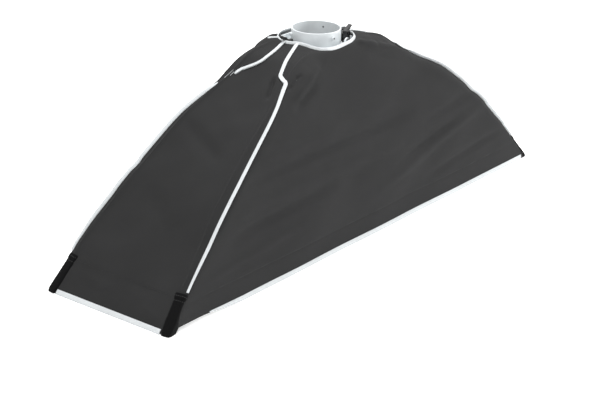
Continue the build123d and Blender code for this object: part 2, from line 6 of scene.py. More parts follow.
import bpy
import numpy as np
from mathutils import Matrix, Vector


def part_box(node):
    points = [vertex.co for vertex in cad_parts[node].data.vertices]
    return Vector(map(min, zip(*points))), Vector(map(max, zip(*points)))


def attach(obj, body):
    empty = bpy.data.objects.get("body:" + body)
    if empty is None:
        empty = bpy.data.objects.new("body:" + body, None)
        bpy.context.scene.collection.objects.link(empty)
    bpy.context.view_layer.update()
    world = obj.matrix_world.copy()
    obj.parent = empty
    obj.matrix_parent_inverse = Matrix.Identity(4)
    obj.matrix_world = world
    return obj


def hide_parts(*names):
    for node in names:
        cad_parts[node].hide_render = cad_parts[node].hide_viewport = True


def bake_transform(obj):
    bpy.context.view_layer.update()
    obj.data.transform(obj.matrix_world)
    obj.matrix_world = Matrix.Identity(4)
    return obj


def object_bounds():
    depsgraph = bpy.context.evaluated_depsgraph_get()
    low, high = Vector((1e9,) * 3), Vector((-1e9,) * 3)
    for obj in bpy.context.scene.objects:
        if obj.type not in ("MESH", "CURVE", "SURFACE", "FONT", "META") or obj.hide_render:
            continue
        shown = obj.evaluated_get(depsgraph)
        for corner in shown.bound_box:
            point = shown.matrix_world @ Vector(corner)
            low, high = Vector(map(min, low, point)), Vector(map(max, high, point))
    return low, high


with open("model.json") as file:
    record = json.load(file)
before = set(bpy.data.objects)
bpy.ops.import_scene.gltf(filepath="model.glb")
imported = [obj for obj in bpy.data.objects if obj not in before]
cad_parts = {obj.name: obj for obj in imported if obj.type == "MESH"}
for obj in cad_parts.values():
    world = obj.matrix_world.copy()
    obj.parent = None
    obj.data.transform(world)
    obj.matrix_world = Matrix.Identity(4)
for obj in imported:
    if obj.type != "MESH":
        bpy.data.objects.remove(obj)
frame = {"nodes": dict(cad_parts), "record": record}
cad_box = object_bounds()

# Lengths below are millimetres in the frame's axes, and MM turns them into metres.
MM = 0.001
SIDES = {"left": -1, "right": 1}
DEPTHS = {"near": -1, "far": 1}


def box_mm(node):
    """Lowest and highest corner of a CAD node, in millimetres."""
    low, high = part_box(node)
    return np.array(low) / MM, np.array(high) / MM


# Outline of the end panels, seen from the long side
RIM_X = -box_mm("left_end_panel")[0][0]
CROWN_X, CROWN_Z = 72.0, 380.0
SHOULDER_X, SHOULDER_Z = 133.0, 364.5
BOW_START_X = 172.0
BOW_CHORD_X, BOW_CHORD_Z, BOW_RISE = 133.0, 360.0, 30.0

# Outline of the side panels, seen from the end
FOOT_Y = -box_mm("near_side_panel")[0][1]
MIDDLE_Y, MIDDLE_Z = 115.0, 246.0
TOP_Y, TOP_Z = 79.0, box_mm("near_side_panel")[1][2]

# Ribs and hinges
HINGE = np.array([52.0, 45.0, 366.0])
ROD_INSET, TIP_X, TIP_Y = 8.0, 583.0, 138.0
ROD_SLOPE = (TIP_Y - HINGE[1]) / (TIP_X - HINGE[0])
POCKET_BACK = 74.0
POCKET_HALF_W, POCKET_HALF_H = 11.2, 10.4

# Cloth
CLOTH_T = 1.0
CLOTH_FOOT_Z = 0.4
BINDING_W, BINDING_T = 7.6, 2.0
TRIM_W = 7.0
HEM_W, HEM_T = 9.8, 2.2

# Half of the opening's edge from above; the other half is the same, turned half round
OPENING_HALF = (
    (-30.0, -75.5), (0.0, -74.0), (25.0, -70.0), (50.0, -57.0), (65.0, -41.0), (70.0, -25.0),
    (69.0, -9.0), (63.0, 4.0), (63.0, 22.0), (66.0, 42.0), (63.0, 60.0), (50.0, 72.0),
)

# Corner seams from above, as distances along and across: inboard run, jog over the rib, outer run
SEAM_OUTER = ((217.0, 79.6), (251.0, 91.0), (300.0, 103.0), (358.0, 115.0), (409.0, 123.7))
SEAM_OUTER += ((468.0, 132.7), (542.0, 141.7), (598.0, 147.5))
SEAM_WITH_JOG = ((60.0, 2.5), (164.0, 42.8), (177.0, 69.0), (197.0, 74.4)) + SEAM_OUTER
SEAM_UNDER_FLAP = ((66.0, 44.0), (186.0, 69.0), (197.0, 74.4)) + SEAM_OUTER
SEAM_FOOT_X = 540.0

# Stitched line that holds the diffuser's tape: its height on the long sides, and how much higher on the ends
SKIRT_Z, END_SKIRT_RISE = 45.0, 8.0


def smoothstep(low, high, value):
    t = np.clip((np.asarray(value, float) - low) / (high - low), 0, 1)
    return t * t * (3 - 2 * t)


def bell(away, width):
    return np.exp(-((away / width) ** 2))


def smoothed(x, y, sigma):
    """y, on evenly spaced x, blurred over sigma, and carried on straight past both ends."""
    step = x[1] - x[0]
    reach = int(4 * sigma / step)
    kernel = np.exp(-0.5 * (np.arange(-reach, reach + 1) * step / sigma) ** 2)
    before = y[0] - (y[1] - y[0]) * np.arange(reach, 0, -1)
    after = y[-1] + (y[-1] - y[-2]) * np.arange(1, reach + 1)
    padded = np.concatenate([before, y, after])
    return np.convolve(padded, kernel / kernel.sum(), mode="valid")


CHORD = math.hypot(RIM_X - BOW_CHORD_X, BOW_CHORD_Z)
BOW_R = CHORD**2 / (8 * BOW_RISE) + BOW_RISE / 2
BOW_X = (RIM_X + BOW_CHORD_X) / 2 - (BOW_R - BOW_RISE) * BOW_CHORD_Z / CHORD
BOW_Z = BOW_CHORD_Z / 2 - (BOW_R - BOW_RISE) * (RIM_X - BOW_CHORD_X) / CHORD


def bow_z(x, inset=0.0):
    """Height of the bow at x, moved in by inset."""
    return BOW_Z + np.sqrt((BOW_R - inset) ** 2 - (np.asarray(x, float) - BOW_X) ** 2)


PROFILE_X = np.arange(0.0, RIM_X + 1.0, 0.5)
PROFILE_RAW = np.interp(
    PROFILE_X, [0, CROWN_X, SHOULDER_X, BOW_START_X], [CROWN_Z, CROWN_Z, SHOULDER_Z, bow_z(BOW_START_X)]
)
PROFILE_RAW = np.where(PROFILE_X > BOW_START_X, bow_z(PROFILE_X), PROFILE_RAW)
PROFILE_Z = smoothed(PROFILE_X, PROFILE_RAW, 7.0)


def top_z(x):
    """Height of the end panels' outer face at a distance x from the middle."""
    return np.interp(np.abs(x), PROFILE_X, PROFILE_Z)


def circle_through(a, b, c):
    """Centre and radius of the circle through three points."""
    (ax, ay), (bx, by), (cx, cy) = a, b, c
    d = 2 * (ax * (by - cy) + bx * (cy - ay) + cx * (ay - by))
    a2, b2, c2 = ax**2 + ay**2, bx**2 + by**2, cx**2 + cy**2
    x = (a2 * (by - cy) + b2 * (cy - ay) + c2 * (ay - by)) / d
    y = (a2 * (cx - bx) + b2 * (ax - cx) + c2 * (bx - ax)) / d
    return x, y, math.hypot(ax - x, ay - y)


SIDE_CY, SIDE_CZ, SIDE_R = circle_through((FOOT_Y, 0.0), (MIDDLE_Y, MIDDLE_Z), (TOP_Y, TOP_Z))


def side_y(z):
    """Distance of the side panels' outer face from the middle plane at height z."""
    return SIDE_CY + np.sqrt(SIDE_R**2 - (np.asarray(z, float) - SIDE_CZ) ** 2)


def rod_y(x):
    """Distance of a rib from the middle plane, at a distance x along the softbox."""
    return HINGE[1] + (np.abs(x) - HINGE[0]) * ROD_SLOPE


ROUND_X = (0, 60, 90, 120, 190, 260, 360, 470, 540, 600)
ROUND_REACH = (8, 9, 26, 34, 32, 22, 15, 15, 12, 12)


def corner_round(x):
    """How far the rounding of the corner between top and side reaches, each way."""
    return np.interp(np.abs(x), ROUND_X, ROUND_REACH)


def soft_ramp(p, reach):
    """0 below -reach, p above reach, and a parabola between."""
    return np.where(p < -reach, 0, np.where(p > reach, p, (p + reach) ** 2 / (4 * reach)))


def lift(x, p, depth):
    """Point of the smooth shell. p is measured round the corner: negative on top, positive down the side."""
    crest, reach = top_z(x), corner_round(x)
    z = crest - soft_ramp(p, reach)
    y = side_y(z) - soft_ramp(-p, reach)
    return np.stack([x, depth * y, z], -1)


def across_to_p(x, y):
    """The p of a point that is y from the middle plane, seen from above."""
    return y - side_y(top_z(x))


# Wrinkles: gentle waves over the whole shell, long in x and short in z
RNG = np.random.RandomState(11)
WAVE_STEEPNESS = (0.28, 0.6, 1.0)
WAVES = []
for wavelength, height in ((210, 0.9), (140, 0.7), (95, 0.5), (66, 0.28), (44, 0.12)):
    for _ in range(3):
        heading = RNG.normal(size=3) * WAVE_STEEPNESS
        heading /= np.linalg.norm(heading)
        WAVES.append((heading * 2 * math.pi / wavelength, RNG.uniform(0, 2 * math.pi), height))

# Folds of the near side and the left end: start, end, height (negative for a valley) and half-width
HALF_FOLDS = (
    ((-144, -79, 354), (-158, -75, 348), -4.0, 3.2),
    ((-154, -76, 350), (-184, -79, 333), -4.5, 3.2),
    ((-168, -30, 342), (-214, -50, 318), -5.0, 6.0),
    ((-183, -96, 319), (-102, -84, 358), 3.0, 7.0),
    ((-150, -86, 346), (-90, -84, 366), 2.0, 9.0),
    ((-190, -98, 300), (-120, -96, 330), -2.4, 9.0),
    ((-296, 84, 268), (-352, -60, 228), -3.4, 17.0),
    ((-230, 40, 312), (-300, -40, 270), 2.5, 22.0),
    ((-420, 60, 170), (-470, -40, 120), -2.5, 20.0),
    ((30, -77, 379), (86, -83, 363), 3.2, 5.0),
    ((80, -83, 364), (206, -84, 322), 3.0, 6.0),
    ((60, -86, 345), (190, -92, 310), -2.6, 9.0),
    ((-332, -113, 238), (-60, -118, 236), 2.2, 11.0),
    ((-370, -124, 208), (170, -123, 208), -2.8, 11.0),
    ((-388, -132, 162), (120, -132, 156), 2.2, 13.0),
    ((-408, -137, 122), (-110, -136, 134), -2.6, 11.0),
    ((40, -142, 84), (436, -128, 164), 2.6, 12.0),
    ((100, -138, 118), (340, -132, 156), -2.2, 9.0),
    ((-60, -118, 260), (210, -118, 236), 1.8, 14.0),
    ((210, -128, 180), (420, -118, 200), -2.0, 10.0),
    ((200, -145, 62), (520, -141, 92), -2.2, 9.0),
    ((-500, -144, 66), (-200, -142, 88), 1.6, 9.0),
    ((-560, 90, 34), (-570, 10, 30), 2.2, 9.0),
    ((-556, 20, 62), (-560, -90, 48), -2.2, 7.0),
    ((-575, -60, 26), (-585, -118, 14), 2.0, 9.0),
)
FOLD_GAIN = 1.5  # on the height of every fold

# The far side and the right end have the same folds, turned half round
TURNED = np.array([-1, -1, 1])
FOLDS = HALF_FOLDS + tuple((TURNED * a, TURNED * b, height, width) for a, b, height, width in HALF_FOLDS)

# What stands out of the smooth shell or sinks into it: height or depth, and half-width
RIDGE_H, RIDGE_W = 3.0, 3.8
ARM_H, ARM_W = 1.2, 10.0
FLAP_PRESS, FLAP_PRESS_W = 2.5, 26.0
SHOULDER_H, SHOULDER_W = 9.0, 42.0
TOP_SAG, SIDE_SAG = 4.0, 2.6
GROOVE, GROOVE_W = 0.9, 2.4


def fold_height(points, start, end, height, half_width):
    """Height of one fold at each point, fading out towards its two ends."""
    start, end = np.array(start, float), np.array(end, float)
    run = end - start
    t = ((points - start) @ run) / (run @ run)
    away = np.linalg.norm(points - start - np.clip(t, 0, 1)[..., None] * run, axis=-1)
    fade = smoothstep(-0.15, 0.3, t) * smoothstep(1.15, 0.7, t)
    return FOLD_GAIN * height * bell(away, half_width) * fade


def relief(base, x, p):
    """How far the cloth stands out from the smooth shell."""
    along, crest = np.abs(x), top_z(x)
    across = p + side_y(crest)
    rod, reach = rod_y(x), corner_round(x)
    out = sum(height * np.sin(base @ wave + phase) for wave, phase, height in WAVES)
    calm = smoothstep(66, 120, np.hypot(x, np.minimum(across, 200))) * smoothstep(0, 60, base[..., 2])
    out = out * (0.25 + 0.75 * calm)
    ridge = smoothstep(75, 115, along) * smoothstep(560, 530, along)
    out = out + RIDGE_H * bell(across - rod, RIDGE_W) * ridge * (p < reach)
    arm = smoothstep(60, 95, along) * smoothstep(205, 160, along)
    out = out + ARM_H * bell(across - rod, ARM_W) * arm * (p < reach)
    under_flap = smoothstep(62, 96, along) * smoothstep(235, 165, along) * (x < 0) * (base[..., 1] > 0)
    out = out - FLAP_PRESS * bell(across - rod, FLAP_PRESS_W) * under_flap
    shoulder = smoothstep(120, 330, x) * smoothstep(530, 390, x)
    out = out + SHOULDER_H * bell(across - rod, SHOULDER_W) * shoulder
    sag = smoothstep(100, 220, along) * smoothstep(572, 470, along)
    out = out - TOP_SAG * np.clip(1 - (across / rod) ** 2, 0, 1) * sag
    down = np.clip((p - reach) / np.maximum(crest - reach, 1), 0, 1)
    out = out - SIDE_SAG * np.sin(math.pi * down) ** 2 * smoothstep(590, 420, along)
    out = out - GROOVE * bell(base[..., 2] - SKIRT_Z, GROOVE_W)
    for fold in FOLDS:
        out = out + fold_height(base, *fold)
    return out


def unit(v):
    return v / np.maximum(np.linalg.norm(v, axis=-1, keepdims=True), 1e-9)


def turned_to(vectors, aims):
    """Vectors, each turned about where it points away from its aim."""
    return vectors * np.sign((vectors * aims).sum(-1, keepdims=True))


def square_to(vectors, ways):
    """Unit vectors made square to their unit ways."""
    return unit(vectors - ways * (vectors * ways).sum(-1, keepdims=True))


SHELL_MIDDLE = np.array([0.0, 0.0, 100.0])


def shell(x, p, depth):
    """Points and outward normals of the cloth."""
    step = 0.5
    x, p = np.asarray(x, float), np.asarray(p, float)
    run = lift(x + step, p, depth) - lift(x - step, p, depth)
    fall = lift(x, p + step, depth) - lift(x, p - step, depth)
    base = lift(x, p, depth)
    normal = turned_to(unit(np.cross(run, fall)), base - SHELL_MIDDLE)
    return base + normal * relief(base, x, p)[..., None], normal


# ---------------- meshes


def make_object(name, verts, faces, materials, face_material=None, uv=None, crease=50.0):
    """A mesh object from points in millimetres. uv is one pair of millimetre values for each point."""
    mesh = bpy.data.meshes.new(name)
    mesh.from_pydata((np.asarray(verts) * MM).tolist(), [], [list(map(int, f)) for f in faces])
    for material in materials:
        mesh.materials.append(material)
    if face_material is not None:
        mesh.polygons.foreach_set("material_index", np.asarray(face_material, np.int32))
    mesh.polygons.foreach_set("use_smooth", np.ones(len(mesh.polygons), bool))
    if uv is not None:
        layer = mesh.uv_layers.new(name="cloth")
        corners = np.zeros(len(mesh.loops), np.int32)
        mesh.loops.foreach_get("vertex_index", corners)
        layer.data.foreach_set("uv", (np.asarray(uv)[corners] * MM).astype(np.float32).ravel())
    mesh.set_sharp_from_angle(angle=math.radians(crease))
    mesh.update()
    made = bpy.data.objects.new(name, mesh)
    bpy.context.scene.collection.objects.link(made)
    return made


def grid_faces(rows, columns, start=0, flip=False):
    """Quads over a grid of points numbered row by row from start."""
    i, j = np.meshgrid(np.arange(rows - 1), np.arange(columns - 1), indexing="ij")
    a = (start + i * columns + j).ravel()
    quads = np.stack([a, a + 1, a + columns + 1, a + columns], -1)
    return quads[:, ::-1] if flip else quads


def grid_normals(points):
    rows = np.gradient(points, axis=0)
    columns = np.gradient(points, axis=1)
    return unit(np.cross(rows, columns))


def cloth_solid(name, points, uv, thickness, outer, inner, towards):
    """A closed sheet: its outer face is the grid of points, on the side that towards is on."""
    rows, columns = points.shape[:2]
    normal = grid_normals(points)
    sign = np.sign(((towards - points) * normal).sum(-1).mean())
    back = points - sign * normal * thickness
    count = rows * columns
    verts = np.concatenate([points.reshape(-1, 3), back.reshape(-1, 3)])
    flip = sign > 0
    front_faces = grid_faces(rows, columns, 0, flip)
    back_faces = grid_faces(rows, columns, count, not flip)
    border = np.concatenate(
        [
            np.arange(columns - 1),
            np.arange(rows - 1) * columns + columns - 1,
            (rows - 1) * columns + np.arange(columns - 1, 0, -1),
            np.arange(rows - 1, 0, -1) * columns,
        ]
    )
    after = np.roll(border, -1)
    rim = np.stack([border, border + count, after + count, after], -1)
    rim = rim[:, ::-1] if flip else rim
    faces = np.concatenate([front_faces, back_faces, rim])
    slots = [0] * len(front_faces) + [1] * len(back_faces) + [0] * len(rim)
    both = np.concatenate([uv.reshape(-1, 2)] * 2)
    return make_object(name, verts, faces, [outer, inner], slots, both)


def coons(top, bottom, left, right, u, v):
    """Grid between four edges of a patch. top and bottom follow v, left and right follow u."""
    u, v = u[:, None, None], v[None, :, None]
    across = (1 - u) * top[None] + u * bottom[None]
    down = (1 - v) * left[:, None] + v * right[:, None]
    corners = (1 - u) * ((1 - v) * top[0] + v * top[-1]) + u * ((1 - v) * bottom[0] + v * bottom[-1])
    return across + down - corners


def lengths(points):
    """Length of a polyline up to each of its points."""
    return np.concatenate([[0], np.cumsum(np.linalg.norm(np.diff(points, axis=0), axis=1))])


def sampled(at, run, values):
    """Rows of values, which lie at run, read off at other places."""
    return np.stack([np.interp(at, run, values[:, k]) for k in range(values.shape[1])], -1)


def spaced(points, shares):
    """Points at shares of the length of a dense polyline."""
    points = np.asarray(points, float)
    run = lengths(points)
    return sampled(np.asarray(shares) * run[-1], run, points)


def closed_spline(points, each=24):
    """A smooth closed curve through points (Catmull-Rom)."""
    points = np.asarray(points, float)
    t = np.linspace(0, 1, each, endpoint=False)[:, None]
    found = []
    for k in range(len(points)):
        a, b, c, d = (points[(k + i) % len(points)] for i in (-1, 0, 1, 2))
        found.append(
            0.5 * (2 * b + (c - a) * t + (2 * a - 5 * b + 4 * c - d) * t**2 + (3 * b - a - 3 * c + d) * t**3)
        )
    return np.concatenate(found)


def tube_faces(rings, sides, closed=False):
    """Faces round a row of rings, with a cap at each end unless the row is closed."""
    faces = []
    for i in range(rings if closed else rings - 1):
        k = (i + 1) % rings
        for j in range(sides):
            m = (j + 1) % sides
            faces.append([i * sides + j, i * sides + m, k * sides + m, k * sides + j])
    if not closed:
        faces.append(list(range(sides))[::-1])
        faces.append([(rings - 1) * sides + j for j in range(sides)])
    return faces


STRIP_PROFILE = (
    (-1.0, -0.5), (-1.0, 0.5), (-0.86, 1.0), (-0.3, 1.12), (0.3, 1.12),
    (0.86, 1.0), (1.0, 0.5), (1.0, -0.5), (0.86, -1.0), (-0.86, -1.0),
)


def strip_parts(path, across, out, width, thickness, closed=False):
    """Points, faces and uv of a flat band swept along a path."""
    rings, sides = len(path), len(STRIP_PROFILE)
    half_w, half_t = np.broadcast_to(width, rings) / 2, np.broadcast_to(thickness, rings) / 2
    verts, uv = [], []
    run = lengths(path)
    for a, o in STRIP_PROFILE:
        verts.append(path + across * (a * half_w)[:, None] + out * (o * half_t)[:, None])
        uv.append(np.stack([run, a * half_w + (o < 0) * 2 * half_w], -1))
    verts = np.stack(verts, 1).reshape(-1, 3)
    uv = np.stack(uv, 1).reshape(-1, 2)
    return verts, tube_faces(rings, sides, closed), uv


STITCH_PITCH, STITCH_LENGTH, STITCH_W, STITCH_H = 4.2, 3.0, 0.34, 0.3


def stitch_parts(path, across, out):
    """Points and faces of a row of stitches, each a small bar with pointed ends."""
    run = lengths(path)
    count = int(run[-1] / STITCH_PITCH)
    at = (np.arange(count) + 0.5) * STITCH_PITCH
    centre, side, up = (sampled(at, run, v) for v in (path, across, out))
    step = 0.5
    ahead, behind = sampled(at + step, run, path), sampled(at - step, run, path)
    way, side, up = unit(ahead - behind), unit(side), unit(up)
    verts, faces = [], []
    half = STITCH_LENGTH / 2
    for n in range(count):
        first = len(verts)
        verts.append(centre[n] - way[n] * half - up[n] * STITCH_H)
        for t in (-0.55, 0.55):
            for s, h in ((-1, 0), (0, 1), (1, 0), (0, -1)):
                verts.append(centre[n] + way[n] * half * t + side[n] * s * STITCH_W + up[n] * h * STITCH_H)
        verts.append(centre[n] + way[n] * half - up[n] * STITCH_H)
        for j in range(4):
            k = (j + 1) % 4
            faces.append([first, first + 1 + k, first + 1 + j])
            faces.append([first + 1 + j, first + 1 + k, first + 5 + k, first + 5 + j])
            faces.append([first + 9, first + 5 + j, first + 5 + k])
    return np.array(verts).reshape(-1, 3), faces


def with_stitches(verts, faces, uv, slots, line, across, out):
    """A piece's parts with a row of stitches in its second material."""
    more, more_faces = stitch_parts(line, across, out)
    faces = faces + [[len(verts) + i for i in f] for f in more_faces]
    verts, uv = np.concatenate([verts, more]), np.concatenate([uv, more[:, :2]])
    return verts, faces, uv, slots + [1] * len(more_faces)


def band(name, path, across, out, width, thickness, cloth, thread=None, rows=(), closed=False):
    """A strip with rows of stitches, each row given by its place across the strip, from -1 to 1."""
    verts, faces, uv = strip_parts(path, across, out, width, thickness, closed)
    slots = [0] * len(faces)
    half_w, half_t = np.broadcast_to(width, len(path)) / 2, np.broadcast_to(thickness, len(path)) / 2
    for place in rows:
        line = path + across * (place * half_w)[:, None] + out * (1.1 * half_t)[:, None]
        verts, faces, uv, slots = with_stitches(verts, faces, uv, slots, line, across, out)
    return make_object(name, verts, faces, [cloth, thread or cloth], slots, uv)


# ---------------- materials


def set_inputs(node, values):
    for name, value in values.items():
        node.inputs[name].default_value = value
    return node


def shader(name, rough, metal=0.0, sheen=0.0, specular=0.5):
    """A new material and its node tree's parts."""
    material = bpy.data.materials.new(name)
    material.use_nodes = True
    tree = material.node_tree
    values = {"Roughness": rough, "Metallic": metal, "Specular IOR Level": specular}
    values |= {"Sheen Weight": sheen, "Sheen Roughness": 0.5}
    return material, tree, set_inputs(tree.nodes["Principled BSDF"], values)


def add_math(tree, operation, a, b=None):
    node = tree.nodes.new("ShaderNodeMath")
    node.operation = operation
    for socket, value in zip(node.inputs, (a, b)):
        if value is None:
            continue
        if isinstance(value, (int, float)):
            socket.default_value = value
        else:
            tree.links.new(value, socket)
    return node.outputs[0]


def noise(tree, scale, detail=3.0, stretch=(1, 1, 1)):
    """Noise over the object's own coordinates, scale in waves a metre."""
    place = tree.nodes.new("ShaderNodeTexCoord")
    mapping = set_inputs(tree.nodes.new("ShaderNodeMapping"), {"Scale": stretch})
    texture = set_inputs(tree.nodes.new("ShaderNodeTexNoise"), {"Scale": scale, "Detail": detail})
    tree.links.new(place.outputs["Object"], mapping.inputs["Vector"])
    tree.links.new(mapping.outputs["Vector"], texture.inputs["Vector"])
    return texture.outputs["Fac"]


def tint(tree, principled, value, low, high, dark, light):
    """Base colour that goes from dark to light as value goes from low to high."""
    node = tree.nodes.new("ShaderNodeValToRGB")
    node.color_ramp.elements[0].position = low
    node.color_ramp.elements[1].position = high
    node.color_ramp.elements[0].color = (*dark, 1)
    node.color_ramp.elements[1].color = (*light, 1)
    tree.links.new(value, node.inputs["Fac"])
    tree.links.new(node.outputs["Color"], principled.inputs["Base Color"])


def add_bump(tree, principled, height, strength, distance):
    node = set_inputs(tree.nodes.new("ShaderNodeBump"), {"Strength": strength, "Distance": distance})
    tree.links.new(height, node.inputs["Height"])
    tree.links.new(node.outputs["Normal"], principled.inputs["Normal"])


def vary_rough(tree, principled, value, low, high):
    node = set_inputs(tree.nodes.new("ShaderNodeMapRange"), {"To Min": low, "To Max": high})
    tree.links.new(value, node.inputs["Value"])
    tree.links.new(node.outputs["Result"], principled.inputs["Roughness"])


def weave_height(tree, pitch):
    """Height of a plain weave over the cloth's own coordinates, with that many metres a thread."""
    place = tree.nodes.new("ShaderNodeUVMap")
    place.uv_map = "cloth"
    split = tree.nodes.new("ShaderNodeSeparateXYZ")
    tree.links.new(place.outputs["UV"], split.inputs["Vector"])
    turns = 2 * math.pi / (2 * pitch)
    warp = add_math(tree, "SINE", add_math(tree, "MULTIPLY", split.outputs["X"], turns))
    weft = add_math(tree, "SINE", add_math(tree, "MULTIPLY", split.outputs["Y"], turns))
    return add_math(tree, "MULTIPLY", warp, weft)


def scaled(colour, factor):
    return tuple(min(1.0, c * factor) for c in colour)


THREAD_TONE, GRAIN_TONE = 0.05, 0.16


def fabric(name, colour, rough, sheen, pitch, spread=0.12, weave_bump=0.00012, specular=0.3):
    """Woven cloth: mottled colour, threads in relief and in tone."""
    material, tree, principled = shader(name, rough, 0.0, sheen, specular)
    mottle = noise(tree, 9.0, 4.0)
    threads = weave_height(tree, pitch)
    fine = noise(tree, 900.0, 2.0)
    tone = add_math(tree, "ADD", mottle, add_math(tree, "MULTIPLY", threads, THREAD_TONE))
    grain = add_math(tree, "MULTIPLY", add_math(tree, "SUBTRACT", fine, 0.5), GRAIN_TONE)
    tone = add_math(tree, "ADD", tone, grain)
    tint(tree, principled, tone, 0.3, 0.7, scaled(colour, 1 - spread), scaled(colour, 1 + spread))
    vary_rough(tree, principled, mottle, rough - 0.06, rough + 0.06)
    add_bump(tree, principled, threads, 0.6, weave_bump)
    return material


def silver_lining():
    """Aluminised inner face with a small embossed grid."""
    material, tree, principled = shader("silver_lining", 0.34, 0.85)
    grid = weave_height(tree, 0.0035)
    cloudy = noise(tree, 22.0, 5.0)
    tint(tree, principled, cloudy, 0.3, 0.7, (0.62, 0.63, 0.64), (0.8, 0.81, 0.82))
    vary_rough(tree, principled, cloudy, 0.28, 0.42)
    add_bump(tree, principled, grid, 0.5, 0.0003)
    return material


def painted(name, colour, rough, grain, depth, spread=0.06, metal=0.0):
    """Paint or moulded plastic with a fine texture."""
    material, tree, principled = shader(name, rough, metal)
    coarse, fine = noise(tree, 28.0, 4.0), noise(tree, grain, 2.0)
    tint(tree, principled, coarse, 0.35, 0.65, scaled(colour, 1 - spread), scaled(colour, 1 + spread))
    vary_rough(tree, principled, coarse, rough - 0.05, rough + 0.07)
    add_bump(tree, principled, fine, 0.35, depth)
    return material


def brushed(name, colour, rough, stretch):
    """Drawn steel: grain along the part."""
    material, tree, principled = shader(name, rough, 1.0)
    grain = noise(tree, 600.0, 3.0, stretch)
    tint(tree, principled, grain, 0.3, 0.7, scaled(colour, 0.8), scaled(colour, 1.15))
    vary_rough(tree, principled, grain, rough - 0.08, rough + 0.12)
    add_bump(tree, principled, grain, 0.15, 0.00003)
    return material


def loop_pile(name, colour, pitch):
    """Hook tape: rows of small hooks."""
    material, tree, principled = shader(name, 0.8, 0.0, 0.2)
    hooks = weave_height(tree, pitch)
    tint(tree, principled, hooks, 0.2, 0.9, scaled(colour, 0.6), scaled(colour, 1.8))
    add_bump(tree, principled, hooks, 0.9, 0.0005)
    return material


SHELL = fabric("charcoal_oxford", (0.0195, 0.0195, 0.0198), 0.8, 0.02, 0.0008, 0.08, 0.00012, 0.1)
POCKET = fabric("black_webbing", (0.0032, 0.0032, 0.0034), 0.75, 0.01, 0.0013, 0.15, 0.0003, 0.06)
BINDING = fabric("grey_binding", (0.52, 0.54, 0.55), 0.8, 0.05, 0.001, 0.06, 0.0002)
DIFFUSION = fabric("diffusion_nylon", (0.86, 0.86, 0.85), 0.65, 0.1, 0.0007, 0.03, 0.00008)
ELASTIC = fabric("black_elastic", (0.03, 0.03, 0.031), 0.7, 0.2, 0.0012, 0.1, 0.0003)
GREY_THREAD = fabric("grey_thread", (0.5, 0.52, 0.53), 0.7, 0.1, 0.0005, 0.05)
BLACK_THREAD = fabric("black_thread", (0.03, 0.03, 0.03), 0.6, 0.1, 0.0005, 0.05)
LINING = silver_lining()
HOOK_TAPE = loop_pile("hook_tape", (0.03, 0.03, 0.032), 0.0016)

# Finishes of the CAD nodes that stay in view, by the record's slot
FINISHES = {
    "cast_grey": painted("cast_grey_paint", (0.62, 0.65, 0.665), 0.42, 1400.0, 0.00004),
    "black_plastic": painted("black_moulding", (0.016, 0.016, 0.017), 0.48, 2200.0, 0.00005, 0.15),
    "dark_steel": painted("dark_steel", (0.05, 0.05, 0.055), 0.4, 1800.0, 0.00002, 0.15, 0.6),
    "black_steel": painted("black_steel", (0.035, 0.035, 0.037), 0.45, 1500.0, 0.00003, 0.15, 0.3),
    "bright_steel": brushed("bright_steel", (0.62, 0.62, 0.61), 0.3, (1, 0.05, 1)),
    "spring_steel": brushed("spring_steel", (0.4, 0.4, 0.41), 0.35, (0.05, 0.05, 1)),
}


def finish_cad_nodes():
    for part in frame["record"]["subparts"]:
        if part["material_slot"] in FINISHES:
            mesh = frame["nodes"][part["node"]].data
            mesh.materials.clear()
            mesh.materials.append(FINISHES[part["material_slot"]])


# ---------------- shares of a rib's turn, and pieces put in the CAD nodes' places

STILL_REACH, FREE_REACH = 27.0, 46.0
RIB_MARGIN = 24.0
PROFILE_OUT = PROFILE_X > HINGE[0] + 20
PROFILE_REACH = np.hypot(PROFILE_X - HINGE[0], HINGE[2] - PROFILE_Z)[PROFILE_OUT]
PROFILE_SWING = np.arctan2(PROFILE_X - HINGE[0], HINGE[2] - PROFILE_Z)[PROFILE_OUT]


def fold_weight(points):
    """Share of a rib's turn that the cloth takes at each point: none at the hub, all at the rib."""
    out, down = np.abs(points[:, 0]) - HINGE[0], HINGE[2] - points[:, 2]
    reach, swing = np.hypot(out, down), np.arctan2(out, down)
    full = np.interp(reach, PROFILE_REACH, PROFILE_SWING) - RIB_MARGIN / np.maximum(reach, RIB_MARGIN)
    return smoothstep(STILL_REACH, FREE_REACH, reach) * np.clip(swing / np.maximum(full, 0.2), 0, 1)


def mesh_points(piece):
    points = np.zeros(len(piece.data.vertices) * 3)
    piece.data.vertices.foreach_get("co", points)
    return points.reshape(-1, 3) / MM


def hang(piece, weights):
    """Bake a piece's placement into its mesh. The weights are not used."""
    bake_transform(piece)


def fold_with(piece):
    hang(piece, fold_weight(mesh_points(piece)))


def stand_in(node):
    """Hide a CAD node, whose place a piece takes."""
    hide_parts(node)


def hang_in(piece, node):
    """Let a piece take a CAD node's place: hide the node and bake the piece's placement into its mesh."""
    stand_in(node)
    fold_with(piece)
    return piece


# ---------------- shell

U_SHARES = np.linspace(0, 1, 176) ** 1.3
V_SHARES = np.linspace(0, 1, 96) ** 1.15
END_V_SHARES = np.linspace(0, 1, 72)
OPENING = closed_spline(list(OPENING_HALF) + [(-x, -y) for x, y in OPENING_HALF])


def seam_points(corners):
    """A seam from above, dense, with its corners rounded: tight at the jog, gentle further out."""
    corners = np.array(corners)
    x = np.arange(corners[0][0], corners[-1][0], 0.5)
    y = np.interp(x, corners[:, 0], corners[:, 1])
    near, wide = smoothed(x, y, 2.2), smoothed(x, y, 16.0)
    return np.stack([x, near + (wide - near) * smoothstep(196, 250, x)], -1)


